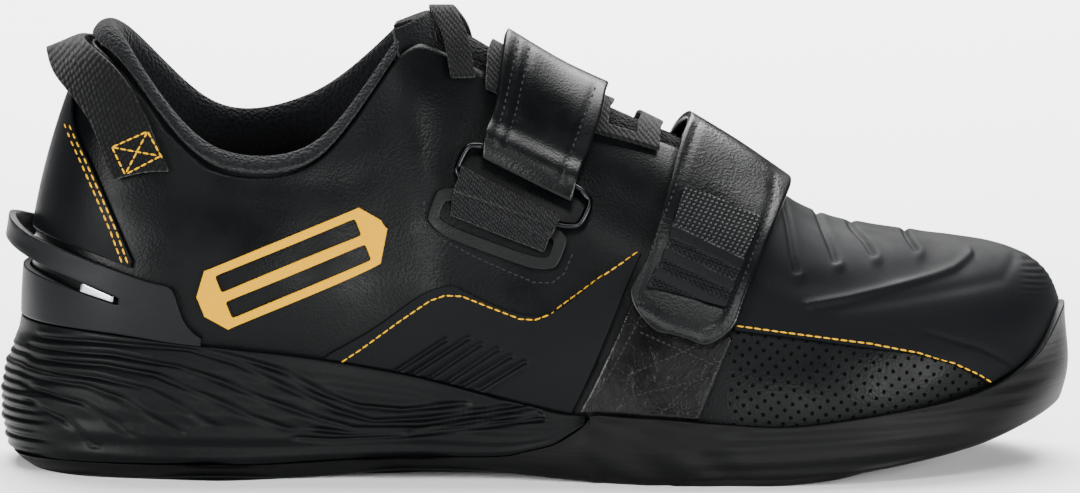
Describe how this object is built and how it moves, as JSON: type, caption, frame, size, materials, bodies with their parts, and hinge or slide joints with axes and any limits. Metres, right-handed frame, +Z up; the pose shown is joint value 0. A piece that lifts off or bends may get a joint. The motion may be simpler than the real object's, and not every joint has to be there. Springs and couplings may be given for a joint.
{
  "type": "weightlifting shoe",
  "caption": "Right weightlifting shoe with a raised heel wedge, a hollow leather upper, two instep straps, a tongue and a toe bumper.",
  "frame": {"origin": "the flat tread under the heel, on the shoe's centre line, 60 mm in front of the back of the sole", "axes": "+X towards the toe, +Y towards the inner (medial) side, +Z up out of the collar"},
  "size_m": [0.3008, 0.1044, 0.1282],
  "materials": {
    "rubber": "satin black",
    "wedge": "satin black",
    "leather": "soft gloss black",
    "lining": "matt black knit",
    "overlay": "matt blue-black",
    "webbing": "matt black ribbed weave",
    "clip_plastic": "matt dark grey",
    "bright_metal": "bright",
    "accent": "satin yellow gold"
  },
  "bodies": {
    "root": {"outsole": "rubber", "midsole": "wedge", "upper": "leather", "insole": "lining", "tongue": "lining", "collar_lining": "lining", "backstay": "overlay", "toe_overlay": "overlay", "side_overlay_lateral": "overlay", "side_overlay_medial": "overlay", "loop_panel_lateral": "webbing", "loop_panel_medial": "webbing", "heel_clip": "clip_plastic", "clip_insert_lateral": "bright_metal", "clip_insert_medial": "bright_metal", "ankle_strap": "leather", "forefoot_strap": "leather", "ankle_grip": "webbing", "forefoot_grip": "webbing", "pull_loop": "webbing", "laces": "webbing", "lace_tie": "webbing", "side_badge": "accent", "webbing_lateral": "webbing", "webbing_medial": "webbing", "ring_lateral": "bright_metal", "ring_medial": "bright_metal", "slot_frame_lateral": "overlay", "slot_frame_medial": "overlay"}
  },
  "joints": []
}
